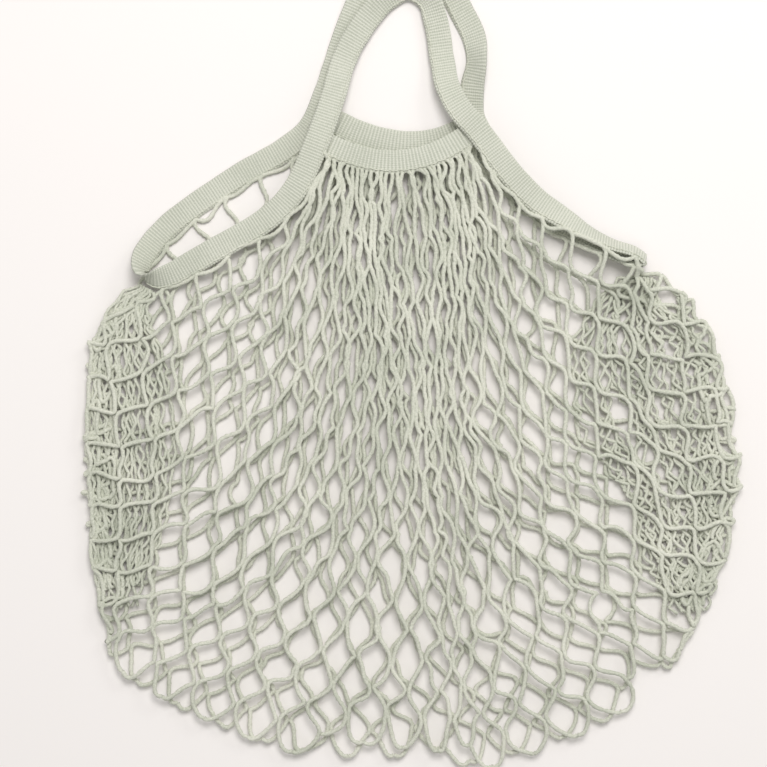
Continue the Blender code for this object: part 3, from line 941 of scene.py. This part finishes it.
def make_gathers(name, rows, yarns, curl, wave, material):
    """Gathered net tucked in between the layers: curly yarns side by side, each bending against the next.
    A yarn sways by the curl to each side, once in every wave."""
    middle = spline(rows, closed=False, steps=24)
    lengths = arc_lengths(middle[:, :2])
    stations = np.arange(0.0, lengths[-1], GATHER_STATION)
    middle = at_lengths(middle, lengths, stations)
    plan, width = middle[:, :2], middle[:, 2]
    along = unit(np.gradient(plan, axis=0))
    across = np.stack([-along[:, 1], along[:, 0]], axis=1)
    tubes = []
    for k in range(yarns):
        seed = 7.0 * k + len(name)
        loose = np.array([noise.noise_vector(Vector((s / CURL_WAVE, seed, 0.3))) for s in stations])
        slow = np.array([noise.noise_vector(Vector((s / WANDER_WAVE, seed, 8.3))) for s in stations])
        phase = 2 * np.pi * stations / wave + np.pi * k + CURL_TIMING * loose[:, 0]
        sway = curl * (1.0 + CURL_UNEVENNESS * loose[:, 1])
        place = (2.0 * (k + 0.5) / yarns - 1.0) * width + WANDER * width * slow[:, 0]
        path = plan + across * (place + sway * np.sin(phase))[:, None]
        path = path + along * (CURL_LEAN * sway * np.sin(2 * phase + 0.7))[:, None]
        ripple = np.sin(2.1 * k + stations / GATHER_RIPPLE)
        height = GATHER_HEIGHT + ripple + GATHER_ROUGHNESS * loose[:, 2]
        # The ends are uneven: every second yarn starts late, and two in three stop early.
        late, early = [round(LEAST_TRIM + TRIM * abs(slow[end, 1])) for end in (0, -1)]
        kept = slice(late if k % 2 else 0, len(stations) - (early if k % 3 else 0))
        tubes.append(yarn_tube(np.column_stack([opened(path), height])[kept], seed, GATHERED_RADIUS))
    net = tube_mesh(name, tubes, ROUND_THE_YARN, False, material)
    return net


# -------- materials
YARN_LIGHT = (0.765, 0.775, 0.675, 1.0)
YARN_DARK = (0.535, 0.565, 0.465, 1.0)
TAPE_LIGHT = (0.665, 0.68, 0.595, 1.0)
TAPE_DARK = (0.50, 0.525, 0.44, 1.0)
TABLE_COLOUR = (0.90, 0.875, 0.86, 1.0)

# Uneven dye and fibres make the shade, which runs from dark to light between two values. On a ribbed strip
# its rows of knitting, in millimetres, show in it too, and painted shade darkens the grooves between its
# ribs.
DYE_SCALE = 38.0
DYE_SHARE = 0.4
DARKEST_SHADE = 0.4
LIGHTEST_SHADE = 0.6
KNIT_ROW = 1.3
PAINTED_GROOVE_SHADE = 0.15
ROW_SHADE = 0.03
ROW_RELIEF = 0.25


class Value:
    """A shader socket that takes part in ordinary sums."""

    def __init__(self, tree, socket):
        self.tree, self.socket = tree, socket

    def math(self, operation, other, swapped=False):
        first, second = (other, self) if swapped else (self, other)
        inputs = {"Value": first, "Value_001": second}
        return self.tree.node("ShaderNodeMath", {"operation": operation}, inputs)["Value"]

    def __add__(self, other):
        return self.math("ADD", other)

    def __radd__(self, other):
        return self.math("ADD", other, True)

    def __sub__(self, other):
        return self.math("SUBTRACT", other)

    def __rsub__(self, other):
        return self.math("SUBTRACT", other, True)

    def __mul__(self, other):
        return self.math("MULTIPLY", other)

    def __rmul__(self, other):
        return self.math("MULTIPLY", other, True)

    def wave(self, frequency):
        """The cosine of this times a frequency."""
        inputs = {"Value": self * frequency}
        return self.tree.node("ShaderNodeMath", {"operation": "COSINE"}, inputs)["Value"]


class Tree:
    """A material's nodes, made by one method."""

    def __init__(self, material):
        material.use_nodes = True
        self.nodes, self.links = material.node_tree.nodes, material.node_tree.links
        self.shader = self.nodes["Principled BSDF"]

    def put(self, socket, value):
        """Links a value to a socket, or sets the socket to a plain number or colour."""
        if isinstance(value, Value):
            self.links.new(value.socket, socket)
        else:
            socket.default_value = value

    def node(self, kind, settings, inputs):
        """A node of this kind with its settings, then its inputs, by the sockets' identifiers. Gives its
        outputs by theirs."""
        made = self.nodes.new(kind)
        for name, value in settings.items():
            setattr(made, name, value)
        sockets = {socket.identifier: socket for socket in made.inputs}
        for name, value in inputs.items():
            self.put(sockets[name], value)
        return {socket.identifier: Value(self, socket) for socket in made.outputs}

    def set_shader(self, values):
        """Puts values on the shader's sockets, by their names."""
        for name, value in values.items():
            self.put(self.shader.inputs[name], value)


def cotton(name, light, dark, fibre_scale, fibre_depth, ribbed=False):
    """Matt cotton: uneven dye, a fuzz of fibres and, on a ribbed strip, painted shade between the ribs."""
    made = bpy.data.materials.new(name)
    tree = Tree(made)
    place = tree.node("ShaderNodeTexCoord", {}, {})["Object"]
    dye_pattern = {"Vector": place, "Scale": DYE_SCALE, "Detail": 3.0}
    dye = tree.node("ShaderNodeTexNoise", {}, dye_pattern)["Fac"]
    fibre_pattern = {"Vector": place, "Scale": fibre_scale, "Detail": 4.0, "Roughness": 0.7}
    fibres = tree.node("ShaderNodeTexNoise", {}, fibre_pattern)["Fac"]
    shade = DYE_SHARE * dye + (1.0 - DYE_SHARE) * fibres
    relief = fibres
    if ribbed:
        run = tree.node("ShaderNodeUVMap", {"uv_map": "run"}, {})["UV"]
        parts = tree.node("ShaderNodeSeparateXYZ", {}, {"Vector": run})
        ribs = parts["X"].wave(2 * math.pi)
        rows = parts["Y"].wave(2 * math.pi / KNIT_ROW)
        # Painted shade: the colour darkens in the grooves between the ribs, as if shadow fell there.
        shade = shade + PAINTED_GROOVE_SHADE * ribs + ROW_SHADE * rows
        relief = fibres + ROW_RELIEF * rows
    stretched = {"Value": shade, "From Min": DARKEST_SHADE, "From Max": LIGHTEST_SHADE}
    contrast = tree.node("ShaderNodeMapRange", {}, stretched)["Result"]
    colours = {"Factor_Float": contrast, "A_Color": dark, "B_Color": light}
    colour = tree.node("ShaderNodeMix", {"data_type": "RGBA"}, colours)["Result_Color"]
    fuzz = {"Strength": 0.8, "Distance": fibre_depth * MM, "Height": relief}
    normal = tree.node("ShaderNodeBump", {}, fuzz)["Normal"]
    tree.set_shader({"Base Color": colour, "Normal": normal, "Roughness": 0.92, "Specular IOR Level": 0.2})
    tree.set_shader({"Sheen Weight": 0.25, "Sheen Roughness": 0.6})
    return made


def table_white():
    made = bpy.data.materials.new("white table")
    Tree(made).set_shader({"Base Color": TABLE_COLOUR, "Roughness": 0.85, "Specular IOR Level": 0.1})
    return made


# -------- building it
yarn_cotton = cotton("two-ply cotton yarn", YARN_LIGHT, YARN_DARK, fibre_scale=1000.0, fibre_depth=0.7)
ribbed_cotton = cotton(
    "ribbed cotton", TAPE_LIGHT, TAPE_DARK, fibre_scale=1100.0, fibre_depth=0.35, ribbed=True
)

tape, starts = tape_ribbon()
front_band = band_ribbon(FRONT_BAND, FRONT_BAND_Z, (BAND_WIDTH - FRONT_BAND_WIDTH) / 2)
back_band = band_ribbon(BACK_BAND, BACK_BAND_Z, (BAND_WIDTH - BACK_BAND_WIDTH) / 2)

pieces = []
for slot, name, node, ribbon, width, thickness, pitch in (
    ("tape", "ribbed_tape", "handle_tape", tape, TAPE_WIDTH, TAPE_THICKNESS, TAPE_RIB),
    ("band", "ribbed_band_front", "mouth_band_front", front_band, FRONT_BAND_WIDTH, BAND_THICKNESS, BAND_RIB),
    ("band", "ribbed_band_back", "mouth_band_back", back_band, BACK_BAND_WIDTH, BAND_THICKNESS, BAND_RIB),
):
    strip = make_ribbed(name, ribbon, width, thickness, pitch, ribbed_cotton)
    stitches = make_stitches(name + "_stitches", ribbon, width, thickness, yarn_cotton)
    pieces += [(strip, node, slot), (stitches, node, slot)]
    flat = (width * MM, ribbon.lengths[-1] * MM)

right_fold = starts["right fold"]
front_layer = Layer(
    fan=(-10.0, 165.0),
    strips=(
        tape.stretch(0, starts["front handle"] + BAND_OVERRUN),
        front_band,
        tape.stretch(starts["right front edge"] - BAND_OVERRUN, right_fold + 1),
    ),
    height=7.6,
    roughness=1.5,
    seed=1.3,
    crowding=0.88,
    crowd_centre=0.05,
    mesh_side=MESH_SIDE,
    drawn_to_gaps=0.75,
)
back_layer = Layer(
    fan=(-9.0, 180.0),
    strips=(
        tape.stretch(starts["left back edge"] - BAND_OVERRUN, len(tape.centres) + 1, flip=True),
        back_band,
        tape.stretch(right_fold, starts["back handle"] + BACK_HANDLE_OVERRUN, flip=True),
    ),
    height=2.6,
    roughness=0.7,
    seed=6.1,
    crowding=0.78,
    crowd_centre=-0.1,
    mesh_side=0.93 * MESH_SIDE,
    drawn_to_gaps=0.0,
)

halves = {
    "left": range(-SIDE_ROWS, MOUTH_COLUMNS),
    "right": range(MOUTH_COLUMNS, 2 * MOUTH_COLUMNS + SIDE_ROWS),
}
nets = []
for side, layer in (("front", front_layer), ("back", back_layer)):
    for half, gaps in halves.items():
        nets.append(make_net(f"net_{side}_{half}", layer, gaps, yarn_cotton))

nets += [
    make_gathers("net_side_left", LEFT_GATHERS, yarns=23, curl=0.9, wave=12.0, material=yarn_cotton),
    make_gathers("net_side_right", RIGHT_GATHERS, yarns=24, curl=1.5, wave=11.0, material=yarn_cotton),
]
pieces += [(net, "net_body", "net") for net in nets]

for piece, node, slot in pieces:
    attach(piece, "root")
    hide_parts(node)

# -------- table, light and camera, in metres
TABLE_SIZE = 6.0
ROOM_COLOUR = (1.0, 0.985, 0.97, 1.0)
ROOM_STRENGTH = 0.5
CAMERA_PLACE = (-0.0164, -0.0135, 1.25)
FOCUS_HEIGHT = 0.006
VIEW_WIDTH = 0.4418
SENSOR_MM = 36.0

bpy.ops.mesh.primitive_plane_add(size=TABLE_SIZE, location=(0, 0, 0))
table = bpy.context.object
table.name = "table_top"
table.data.materials.append(table_white())

scene = bpy.context.scene
if scene.world is None:
    scene.world = bpy.data.worlds.new("soft room")
scene.world.use_nodes = True
background = scene.world.node_tree.nodes["Background"]
background.inputs["Color"].default_value = ROOM_COLOUR
background.inputs["Strength"].default_value = ROOM_STRENGTH


def area_light(name, place, target, size, power, colour):
    """A round light at a place, turned to its target, with its power in watts."""
    data = bpy.data.lights.new(name, "AREA")
    data.shape = "DISK"
    data.size = size
    data.energy = power
    data.color = colour
    lamp = bpy.data.objects.new(name, data)
    lamp.location = place
    lamp.rotation_mode = "QUATERNION"
    lamp.rotation_quaternion = (Vector(target) - Vector(place)).to_track_quat("-Z", "Y")
    scene.collection.objects.link(lamp)


area_light(
    "overhead", (0.14, 0.75, 1.55), (0.0, 0.0, 0.0), size=0.9, power=19.0, colour=(1.0, 0.975, 0.96)
)
area_light("window", (1.1, 1.0, 1.0), (-0.1, 0.0, 0.0), size=0.6, power=3.6, colour=(1.0, 0.985, 0.96))

camera_data = bpy.data.cameras.new("camera")
camera_data.sensor_width = SENSOR_MM
camera_data.lens = camera_data.sensor_width * (CAMERA_PLACE[2] - FOCUS_HEIGHT) / VIEW_WIDTH
camera = bpy.data.objects.new("camera", camera_data)
camera.location = CAMERA_PLACE
scene.collection.objects.link(camera)
scene.camera = camera
scene.view_settings.view_transform = "Standard"
